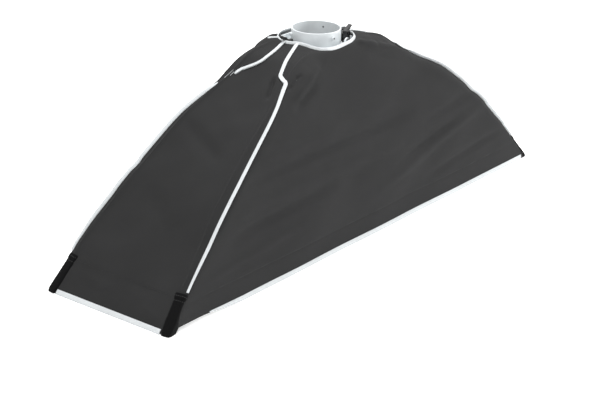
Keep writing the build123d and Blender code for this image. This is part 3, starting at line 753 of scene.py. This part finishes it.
def corner_seam(side, depth):
    """Seam of one corner, as distances along and across, from the opening to the foot."""
    under_flap = side == "left" and depth == "far"
    return seam_points(SEAM_UNDER_FLAP if under_flap else SEAM_WITH_JOG)


def opening_between(start, end):
    """The opening's edge from the point nearest to start to the one nearest to end, the short way."""
    first = np.argmin(np.linalg.norm(OPENING - start, axis=1))
    last = np.argmin(np.linalg.norm(OPENING - end, axis=1))
    count = len(OPENING)
    forward, backward = (last - first) % count, (first - last) % count
    steps = np.arange(forward + 1) if forward <= backward else -np.arange(backward + 1)
    return OPENING[(first + steps) % count]


# The foot that is rolled under near one corner: how far up, and where along
ROLLED_CORNER = ("left", "near")
ROLL_UP, ROLL_FROM_X, ROLL_FULL_X = 9.6, 380.0, 520.0
HEM_END_X = 574.0


def rolled(x, side, depth):
    """Share of the way that a long side's foot is rolled under, at a distance x from the middle."""
    if (side, depth) != ROLLED_CORNER:
        return np.zeros(np.shape(x))
    return smoothstep(ROLL_FROM_X, ROLL_FULL_X, x)


def patch(top, bottom, left, right, v):
    """Grid between four edges, which are dense polylines."""
    across = (spaced(edge, v) for edge in (top, bottom))
    down = (spaced(edge, U_SHARES) for edge in (left, right))
    return coons(*across, *down, U_SHARES, v)


def make_side_cloth(side, depth):
    """Half of a long side: from the middle of the softbox to one corner seam."""
    sx, sy = SIDES[side], DEPTHS[depth]
    seam = corner_seam(side, depth)
    start = np.array([sx * seam[0][0], sy * seam[0][1]])
    edge = opening_between(np.array([0.0, sy * 74.0]), start)
    edge[0, 0] = 0.0
    edge = np.stack([edge[:, 0], across_to_p(edge[:, 0], sy * edge[:, 1])], -1)
    seam_p = np.stack([sx * seam[:, 0], across_to_p(seam[:, 0], seam[:, 1])], -1)
    edge[-1] = seam_p[0]
    foot_x = np.linspace(0, seam[-1][0], 400)
    lifted = ROLL_UP * rolled(foot_x, side, depth) * smoothstep(598, HEM_END_X, foot_x)
    foot = np.stack([sx * foot_x, top_z(foot_x) - lifted], -1)
    seam_p[-1] = foot[-1]
    middle = np.stack([np.zeros(50), np.linspace(edge[0, 1], foot[0, 1], 50)], -1)
    grid = patch(edge, foot, middle, seam_p, V_SHARES)
    points, _ = shell(grid[..., 0], grid[..., 1], sy)
    points[..., 2] = np.maximum(points[..., 2], CLOTH_FOOT_Z)
    outside = points * (1, 3, 1)
    piece = cloth_solid(f"{depth}_{side}_side_cloth", points, grid, CLOTH_T, SHELL, LINING, outside)
    return hang_in(piece, f"{depth}_side_panel")


def make_end_cloth(side):
    """One end panel, from the near seam to the far one."""
    sx = SIDES[side]
    near, far = corner_seam(side, "near"), corner_seam(side, "far")
    edge = opening_between(np.array([sx * near[0][0], -near[0][1]]), np.array([sx * far[0][0], far[0][1]]))
    near_edge, far_edge = near * (sx, -1), far * (sx, 1)
    edge[0], edge[-1] = near_edge[0], far_edge[0]
    foot = np.stack([np.full(60, sx * near[-1][0]), np.linspace(near_edge[-1][1], far_edge[-1][1], 60)], -1)
    grid = patch(edge, foot, near_edge, far_edge, END_V_SHARES)
    x, y = grid[..., 0], grid[..., 1]
    p = across_to_p(x, np.abs(y))
    points, _ = shell(x, p, np.where(y < 0, -1.0, 1.0))
    points[..., 2] = np.maximum(points[..., 2], CLOTH_FOOT_Z)
    uv = np.stack([np.broadcast_to(lengths(points[:, 36])[:, None], x.shape), y], -1)
    outside = points * (3, 1, 1) + (0, 0, 900)
    piece = cloth_solid(f"{side}_end_cloth", points, uv, CLOTH_T, SHELL, LINING, outside)
    return hang_in(piece, f"{side}_end_panel")


# Way in which each corner's fin stands out, below the jog
FIN_FROM_X, FIN_FULL_X = 186.0, 225.0
FIN_LEAN = {
    ("left", "near"): (-0.1, -1.0, 0.1),
    ("left", "far"): (-0.1, 0.85, 0.55),
    ("right", "near"): (0.25, -0.7, 0.7),
    ("right", "far"): (0.2, 0.9, 0.3),
}


def make_seam(side, depth):
    """Binding of one corner seam: flat near the hub, or sunk where the flap is, and a fin further down."""
    sx, sy = SIDES[side], DEPTHS[depth]
    seam = corner_seam(side, depth)
    seam = seam[seam[:, 0] < SEAM_FOOT_X]
    x, y = seam[:, 0], seam[:, 1]
    points, normal = shell(sx * x, across_to_p(x, y), sy)
    count = int(lengths(points)[-1] / 2.6)
    shares = np.linspace(0, 1, count)
    along_x = spaced(np.concatenate([points, x[:, None]], 1), shares)[:, 3]
    normal = sampled(along_x, x, normal)
    points = spaced(points, shares)
    way = unit(np.gradient(points, axis=0))
    flat_across = unit(np.cross(normal, way))
    flat_across *= np.sign((flat_across * (0, sy, 0)).sum(-1).mean())
    fin = smoothstep(FIN_FROM_X, FIN_FULL_X, along_x)
    tip = smoothstep(470, SEAM_FOOT_X, along_x)
    fin_across = unit(np.array(FIN_LEAN[side, depth]))
    across = unit(flat_across * (1 - fin)[:, None] + fin_across * fin[:, None])
    across = square_to(across, way)
    out = turned_to(unit(np.cross(way, across)), normal)
    hidden = (1 - fin) * (side == "left" and depth == "far")
    width = BINDING_W * (1 - 0.35 * tip)
    thick = BINDING_T * (1 - 0.7 * hidden)
    lifted = 1.3 * (1 - fin) + 0.2 * fin - 3.4 * hidden
    place = points + normal * lifted[:, None] + across * (fin * (width / 2 - 1.2))[:, None]
    rows = (-0.62,)
    piece = band(f"{depth}_{side}_seam", place, across, out, width, thick, BINDING, GREY_THREAD, rows)
    hang_in(piece, f"{depth}_{side}_seam_binding")


def make_opening_trim():
    """Binding round the opening, leaning in towards the collar."""
    plan = spaced(np.concatenate([OPENING, OPENING[:1]]), np.linspace(0, 1, 220))[:-1]
    sy = np.where(plan[:, 1] < 0, -1.0, 1.0)
    points, _ = shell(plan[:, 0], across_to_p(plan[:, 0], np.abs(plan[:, 1])), sy)
    inward = unit(-plan)
    inward = np.concatenate([inward, np.zeros((len(plan), 1))], 1)
    across = unit(inward * 0.55 + np.array([0, 0, 1.0]))
    way = unit(np.roll(points, -1, axis=0) - np.roll(points, 1, axis=0))
    across = square_to(across, way)
    out = turned_to(unit(np.cross(across, way)), -inward)
    centre = points + across * (TRIM_W / 2 - 2.0) + out * 0.6
    rows = (-0.55,)
    piece = band("opening_trim", centre, across, out, TRIM_W, BINDING_T, BINDING, GREY_THREAD, rows, True)
    stand_in("opening_binding")
    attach(piece, "hub")


# ---------------- hems


HEM_ROWS = (0.7,)


def make_side_hem(side, depth):
    """Half of a long side's hem. Where it is rolled under, it narrows and goes behind the cloth."""
    sx, sy = SIDES[side], DEPTHS[depth]
    x = np.linspace(0, HEM_END_X, 150)
    under = rolled(x, side, depth)
    width = HEM_W * (1 - 0.8 * under)
    p = top_z(x) - width / 2 - under * ROLL_UP
    points, normal = shell(sx * x, p, sy)
    upper, _ = shell(sx * x, p - 3, sy)
    across = unit(upper - points)
    centre = points + normal * (0.3 - 3.2 * smoothstep(0.75, 1.0, under))[:, None]
    centre[:, 2] = np.maximum(centre[:, 2], HEM_W / 2 + 0.2)
    name = f"{depth}_{side}_side_hem_tape"
    piece = band(name, centre, across, normal, width, HEM_T, BINDING, GREY_THREAD, HEM_ROWS)
    return hang_in(piece, f"{depth}_side_hem")


def make_skirt_stitches(name, x, p, depths):
    """Stitched line low on the cloth, in thread of the cloth's own colour."""
    points, normal = shell(x, p, depths)
    upper, _ = shell(x, p - 3, depths)
    verts, faces = stitch_parts(points + normal * 0.1, unit(upper - points), normal)
    piece = make_object(name, verts, faces, [BLACK_THREAD], None, verts[:, :2])
    fold_with(piece)


def make_side_stitches(side, depth):
    x = np.linspace(2, 536, 200)
    p = top_z(x) - SKIRT_Z
    corner = f"{depth}_{side}"
    make_skirt_stitches(f"{corner}_side_stitches", SIDES[side] * x, p, DEPTHS[depth])


def make_end_stitches(side):
    y = np.linspace(-118, 118, 120)
    x = np.full(len(y), SIDES[side] * np.interp(SKIRT_Z + END_SKIRT_RISE, PROFILE_Z[::-1], PROFILE_X[::-1]))
    depths = np.where(y < 0, -1.0, 1.0)
    make_skirt_stitches(f"{side}_end_stitches", x, across_to_p(x, np.abs(y)), depths)


def make_end_hem(side):
    sx = SIDES[side]
    y = np.linspace(-127, 127, 80)
    rim_x = np.interp(HEM_W * 0.4, PROFILE_Z[::-1], PROFILE_X[::-1])
    x = np.full(len(y), sx * rim_x)
    sy = np.where(y < 0, -1.0, 1.0)
    points, normal = shell(x, across_to_p(x, np.abs(y)), sy)
    upper, _ = shell(x - sx * 3, across_to_p(x, np.abs(y)), sy)
    across = unit(upper - points)
    name, centre = f"{side}_end_hem_tape", points + normal * 0.3
    piece = band(name, centre, across, normal, HEM_W, HEM_T, BINDING, GREY_THREAD, HEM_ROWS)
    return hang_in(piece, f"{side}_end_hem")


# ---------------- corner pockets

# Rings of a pocket from inside its mouth round to its closed end: place along, size
POCKET_RINGS = (
    (-46, 0.6), (-58, 0.7), (-65.5, 0.8), (-66.6, 0.92), (-66.2, 1.04), (-64, 1.08), (-58, 1.08),
    (-56.6, 1.06), (-56, 1.0), (-48, 0.985), (-36, 1.0), (-24, 0.985), (-12, 1.0), (2, 1.0),
    (8, 0.985), (12, 0.93), (15, 0.8), (17, 0.6), (17.6, 0.35),
)


POCKET_SQUARENESS = 4.5
POCKET_EDGE_X, POCKET_EDGE_Y, POCKET_FOOT_Z = 603.0, 152.0, 0.3
COLLAR_END = -56.0  # the pocket's mouth has a folded collar, and its body starts here
STITCH_PLACES = (-61.0, -52.0)


def make_pocket(side, depth):
    """Webbing pocket that holds a rib's tip at one corner."""
    sx, sy = SIDES[side], DEPTHS[depth]
    run = unit(np.array([sx * (TIP_X - HINGE[0]), sy * (TIP_Y - HINGE[1]), 0.0]))
    aim_x = TIP_X - POCKET_BACK / 3
    slope = (bow_z(aim_x + 1, ROD_INSET) - bow_z(aim_x - 1, ROD_INSET)) / 2 * abs(run[0])
    ahead = unit(run + np.array([0, 0, slope]))
    beside = np.cross(ahead, (0, 0, 1.0))
    beside = unit(beside * np.sign(beside[1] * sy))
    above = np.cross(beside, ahead)
    above = unit(above * np.sign(above[2]))
    tip = np.array([sx * TIP_X, sy * TIP_Y, bow_z(TIP_X, ROD_INSET)])
    turn = np.linspace(0, 2 * math.pi, 40, endpoint=False)
    power = 2 / POCKET_SQUARENESS
    a = np.sign(np.cos(turn)) * np.abs(np.cos(turn)) ** power
    b = np.sign(np.sin(turn)) * np.abs(np.sin(turn)) ** power
    rings = []
    for place, size in POCKET_RINGS:
        dent = 1 - 0.05 * np.sin(place / 9.0) * (np.abs(a) > 0.9)
        wide, high = a * size * dent * POCKET_HALF_W, b * size * POCKET_HALF_H
        rings.append(tip + ahead * place + beside * wide[:, None] + above * high[:, None])
    verts = np.concatenate(rings)
    verts[:, 2] = np.maximum(verts[:, 2], POCKET_FOOT_Z)
    verts[:, 0] = np.clip(verts[:, 0], -POCKET_EDGE_X, POCKET_EDGE_X)
    verts[:, 1] = np.clip(verts[:, 1], -POCKET_EDGE_Y, POCKET_EDGE_Y)
    faces = tube_faces(len(POCKET_RINGS), len(turn))
    uv = np.concatenate([np.stack([np.full(len(turn), place), turn * 9.0], -1) for place, _ in POCKET_RINGS])
    slots = [0] * len(faces)
    for place in STITCH_PLACES:
        size = 1.1 if place < COLLAR_END else 1.1 / 1.09
        middle = tip + ahead * place
        loop = beside * (a * size * POCKET_HALF_W)[:, None] + above * (b * size * POCKET_HALF_H)[:, None]
        loop = middle + np.concatenate([loop, loop[:1]])
        out = unit(loop - middle)
        across = np.broadcast_to(ahead, loop.shape)
        verts, faces, uv, slots = with_stitches(verts, faces, uv, slots, loop, across, out)
    piece = make_object(f"{depth}_{side}_corner_pocket", verts, faces, [POCKET, BLACK_THREAD], slots, uv)
    stand_in(f"{depth}_{side}_pocket")
    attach(piece, f"{depth}_{side}_rib")


# ---------------- flap

FLAP_ROOT_Y, FLAP_ROOT_START, FLAP_ROOT_END = 66.0, 68.0, 173.0
FLAP_T, FLAP_TRIM_W, FLAP_TRIM_T = 1.4, 7.0, 2.8
FLAP_HUB_X, FLAP_HUB_Y = 52.0, 47.0
# The flap's free edge from above, hub end first, as distances along and across
FLAP_FREE = (
    (55.0, 48.0), (54.0, 36.0), (58.0, 26.0), (70.0, 21.0), (88.0, 18.0), (108.0, 15.0),
    (126.0, 14.0), (140.0, 17.0), (150.0, 25.0), (158.0, 36.0), (166.0, 49.0), (171.0, 59.0),
)


def flap_surface(along, across):
    """Points of the flap, which stands a little proud of the shell and more over the hub's corner."""
    x = -along
    points, normal = shell(x, across_to_p(x, across), 1.0)
    free = smoothstep(FLAP_ROOT_Y, 20, across)
    hub_end = bell(along - FLAP_HUB_X, 34)
    crown = bell(across - FLAP_HUB_Y, 20)
    raised = 1.5 + 0.8 * free + hub_end * (0.6 + 0.8 * crown)
    return points + normal * raised[..., None], normal


def make_flap():
    """Flap over the far left rib's root, with binding round its edges other than its root."""
    free = closed_spline(FLAP_FREE, 12)[: 12 * (len(FLAP_FREE) - 1)]
    free = spaced(free, np.linspace(0, 1, 90))
    root_along = np.linspace(FLAP_ROOT_START, FLAP_ROOT_END, 90)
    v = np.linspace(0, 1, 34)[None, :, None]
    root = np.stack([root_along, np.full(90, FLAP_ROOT_Y)], -1)
    grid = root[:, None] * (1 - v) + free[:, None] * v
    points, _ = flap_surface(grid[..., 0], grid[..., 1])
    cloth = cloth_solid("flap_cloth", points, grid, FLAP_T, SHELL, SHELL, points + (0, 0, 500))
    hub_end = np.linspace((FLAP_ROOT_START, FLAP_ROOT_Y), free[0], 12)
    edge = spaced(np.concatenate([hub_end[:-1], free]), np.linspace(0, 1, 110))
    path, normal = flap_surface(edge[:, 0], edge[:, 1])
    way = unit(np.gradient(path, axis=0))
    middle = points[45, 12]
    across = turned_to(unit(np.cross(normal, way)), middle - path)
    centre = path + across * 2.2 - normal * 0.2
    trim = band("flap_trim", centre, across, normal, FLAP_TRIM_W, FLAP_TRIM_T, BINDING, GREY_THREAD, (0.6,))
    for piece, node, slot in ((cloth, "flap", "shell_fabric"), (trim, "flap_binding", "binding")):
        stand_in(node)
        weights = smoothstep(FLAP_ROOT_Y, FLAP_ROOT_Y - 12, mesh_points(piece)[:, 1])
        hang(piece, weights)
    return cloth


# ---------------- diffuser and baffle

DIFFUSER_LOW = box_mm("front_diffuser")[0]
DIFFUSER_Z, DIFFUSER_X, DIFFUSER_Y = DIFFUSER_LOW[2], 549.0, 138.5
DIFFUSER_CUT_X, DIFFUSER_CUT_Y = 47.0, 34.0
BAFFLE_Z = box_mm("inner_baffle")[0][2]
BAFFLE_X, BAFFLE_Y, BAFFLE_CUT = 322.0, 86.0, 26.0
DIFFUSER_T, BAFFLE_T = 0.7, 0.6
EDGE_W, EDGE_T = 13.0, 1.2
TAPE_X, TAPE_W, TAPE_T, TAPE_OUT, TAPE_UP = 498.0, 12.0, 1.0, 1.6, 8.0
STRAP_W, STRAP_T, STRAP_ANCHOR_X, STRAP_ANCHOR_Y = 9.0, 1.0, 337.0, 99.0


def hung_sheet(x, half_x, half_y, cut_x, cut_y, columns):
    """Grid of a rectangle with cut corners, from its middle out to one end."""
    half = np.interp(x, [0, half_x - cut_x, half_x], [half_y, half_y, half_y - cut_y])
    return half[:, None] * np.linspace(-1, 1, columns)[None, :]


def make_hung_cloth(name, points, grid, thickness, node):
    """A hung sheet of diffusion cloth with its outer face down."""
    below = points - (0, 0, 500)
    piece = cloth_solid(name, points, grid, thickness, DIFFUSION, DIFFUSION, below)
    return hang_in(piece, node)


def make_diffuser(side):
    """Half of the front diffuser, pulled flat, with its edge turned up against the shell."""
    sx = SIDES[side]
    x = np.linspace(0, DIFFUSER_X, 130)
    y = hung_sheet(x, DIFFUSER_X, DIFFUSER_Y, DIFFUSER_CUT_X, DIFFUSER_CUT_Y, 61)
    x = np.broadcast_to(x[:, None], y.shape)
    half = np.abs(y).max(axis=1, keepdims=True)
    edge = np.minimum(half - np.abs(y), DIFFUSER_X - x)
    pucker = 0.9 * np.sin(x / 9.0 + 0.6 * np.sin(x / 23.0)) * np.exp(-edge / 16)
    z = DIFFUSER_Z + 1.0 + pucker + 2.5 * np.exp(-edge / 5) + 0.5 * np.sin(x / 61.0) * np.sin(y / 40.0)
    points = np.stack([sx * x, y, z], -1)
    grid = np.stack([x, y], -1)
    return make_hung_cloth(f"{side}_diffuser_cloth", points, grid, DIFFUSER_T, "front_diffuser")


def diffuser_edge_path(sx, outset):
    """The diffuser's outline from the near middle round one end to the far middle."""
    cut_x, end_x, wide_y = DIFFUSER_X - DIFFUSER_CUT_X, DIFFUSER_X + outset, DIFFUSER_Y + outset
    end_y = DIFFUSER_Y - DIFFUSER_CUT_Y
    corners = [(0, -wide_y), (cut_x, -wide_y), (end_x, -end_y), (end_x, end_y), (cut_x, wide_y), (0, wide_y)]
    return np.array(corners) * (sx, 1)


def make_diffuser_edge(side):
    """Turned-up edge of the diffuser, with hook tape along both long sides."""
    sx = SIDES[side]
    plan = spaced(diffuser_edge_path(sx, 0.4), np.linspace(0, 1, 300))
    plan[0, 0] = plan[-1, 0] = 0.0
    path = np.concatenate([plan, np.full((300, 1), DIFFUSER_Z + TAPE_UP)], 1)
    way = unit(np.gradient(path, axis=0))
    across = np.broadcast_to((0, 0, 1.0), path.shape)
    out = turned_to(np.cross(across, way), path * (1, 1, 0))
    rows = (-0.6, 0.7)
    edge = band(f"{side}_diffuser_hem", path, across, out, EDGE_W, EDGE_T, DIFFUSION, GREY_THREAD, rows)
    hang_in(edge, "diffuser_edge")
    for depth, sy in DEPTHS.items():
        tape_y, tape_z = sy * (DIFFUSER_Y + TAPE_OUT), DIFFUSER_Z + TAPE_UP
        path = np.linspace((0, tape_y, tape_z), (sx * TAPE_X, tape_y, tape_z), 160)
        across = np.broadcast_to((0, 0, 1.0), path.shape)
        out = np.broadcast_to((0, float(sy), 0), path.shape)
        tape = band(f"{depth}_{side}_hook_tape", path, across, out, TAPE_W, TAPE_T, HOOK_TAPE)
        hang_in(tape, "diffuser_tapes")
    return edge


def make_baffle(side):
    """Half of the inner baffle, with an elastic strap at each of its two corners."""
    sx = SIDES[side]
    x = np.linspace(0, BAFFLE_X, 80)
    y = hung_sheet(x, BAFFLE_X, BAFFLE_Y, BAFFLE_CUT, BAFFLE_CUT, 41)
    x = np.broadcast_to(x[:, None], y.shape)
    sag = np.cos(x / BAFFLE_X * math.pi / 2) * np.cos(y / BAFFLE_Y * math.pi / 2)
    z = BAFFLE_Z + 0.5 - 3.5 * sag + 0.5 * np.sin(x / 33.0) * np.cos(y / 21.0)
    points = np.stack([sx * x, y, z], -1)
    grid = np.stack([x, y], -1)
    piece = make_hung_cloth(f"{side}_baffle_cloth", points, grid, BAFFLE_T, "inner_baffle")
    for depth, sy in DEPTHS.items():
        inset = BAFFLE_CUT / 2 + 4
        corner = np.array([sx * (BAFFLE_X - inset), sy * (BAFFLE_Y - inset), BAFFLE_Z])
        anchor = np.array([sx * STRAP_ANCHOR_X, sy * STRAP_ANCHOR_Y, BAFFLE_Z - 1])
        path = corner + (anchor - corner) * np.linspace(0, 1, 24)[:, None]
        way = unit(anchor - corner)
        across = np.broadcast_to(unit(np.cross(way, (0, 0, 1.0))), path.shape)
        out = np.broadcast_to((0, 0, 1.0), path.shape)
        name, rows = f"{depth}_{side}_baffle_strap", (-0.5, 0.5)
        strap = band(name, path, across, out, STRAP_W, STRAP_T, ELASTIC, BLACK_THREAD, rows)
        fold_with(strap)
    return piece


# ---------------- stage

CAMERA_AZIMUTH, CAMERA_ELEVATION, CAMERA_ROLL = -52.351, 21.889, 1.137
CAMERA_DISTANCE, CAMERA_LENS = 3.28, 98.79
CAMERA_RIGHT, CAMERA_UP = -0.03, -0.15245  # from the middle of the object to the picture's middle

# Soft lights: name, place, aim, size and power. Lengths on the stage are metres.
LIGHTS = (
    ("overhead", (0.3, 0.2, 2.6), (0, 0, 0.2), 1.6, 74),
    ("right_fill", (1.9, -1.9, 1.1), (0.45, -0.1, 0.15), 1.0, 40),
    ("left_fill", (-2.6, -1.2, 2.2), (-0.2, 0, 0.2), 1.6, 34),
)
WORLD_STRENGTH, FLOOR_GLOW, FLOOR_SIZE, FLOOR_Z = 0.7, 0.35, 40, -0.0005


def add_camera():
    azimuth, elevation, roll = (math.radians(v) for v in (CAMERA_AZIMUTH, CAMERA_ELEVATION, CAMERA_ROLL))
    level_share, height_share = math.cos(elevation), math.sin(elevation)
    back = np.array([math.sin(azimuth) * level_share, -math.cos(azimuth) * level_share, height_share])
    level = np.array([math.cos(azimuth), math.sin(azimuth), 0.0])
    rise = np.cross(back, level)
    right = level * math.cos(roll) + rise * math.sin(roll)
    up = -level * math.sin(roll) + rise * math.cos(roll)
    middle = (np.array(cad_box[0]) + np.array(cad_box[1])) / 2
    place = middle + right * CAMERA_RIGHT + up * CAMERA_UP + back * CAMERA_DISTANCE
    camera = bpy.data.objects.new("camera", bpy.data.cameras.new("camera"))
    camera.data.lens, camera.data.sensor_width = CAMERA_LENS, 36.0
    camera.matrix_world = Matrix(np.column_stack([right, up, back]).tolist()).to_4x4()
    camera.location = place
    bpy.context.scene.collection.objects.link(camera)
    bpy.context.scene.camera = camera


def facing(back):
    """Rows of a rotation whose third axis is back."""
    level = unit(np.cross((0, 0, 1.0), back))
    return np.column_stack([level, np.cross(back, level), back]).tolist()


def add_area_light(name, place, aim, size, power):
    light = bpy.data.lights.new(name, "AREA")
    light.shape, light.size, light.energy = "DISK", size, power
    lamp = bpy.data.objects.new(name, light)
    back = unit(np.array(place, float) - np.array(aim, float))
    lamp.rotation_mode = "QUATERNION"
    lamp.rotation_quaternion = Matrix(facing(back)).to_quaternion()
    lamp.location = place
    bpy.context.scene.collection.objects.link(lamp)


def add_stage():
    world = bpy.data.worlds.new("studio")
    world.use_nodes = True
    set_inputs(world.node_tree.nodes["Background"], {"Color": (1, 1, 1, 1), "Strength": WORLD_STRENGTH})
    bpy.context.scene.world = world
    bpy.context.scene.view_settings.view_transform = "Standard"
    bpy.ops.mesh.primitive_plane_add(size=FLOOR_SIZE, location=(0, 0, FLOOR_Z))
    floor = bpy.context.object
    floor.name = "floor"
    material, _, principled = shader("pale_floor", 0.9)
    set_inputs(principled, {"Base Color": (0.97, 0.97, 0.97, 1), "Emission Color": (1, 1, 1, 1)})
    set_inputs(principled, {"Emission Strength": FLOOR_GLOW})
    floor.data.materials.append(material)
    for light in LIGHTS:
        add_area_light(*light)


# ---------------- making

add_camera()
finish_cad_nodes()
for depth in DEPTHS:
    for side in SIDES:
        make_seam(side, depth)
        make_pocket(side, depth)
        make_side_hem(side, depth)
        make_side_stitches(side, depth)
for side in SIDES:
    make_end_hem(side)
    make_end_stitches(side)
make_opening_trim()
for depth in DEPTHS:
    for side in SIDES:
        cloth = make_side_cloth(side, depth)
for side in SIDES:
    cloth = make_end_cloth(side)
    diffuser = make_diffuser(side)
    edge = make_diffuser_edge(side)
    baffle = make_baffle(side)
flap = make_flap()
add_stage()
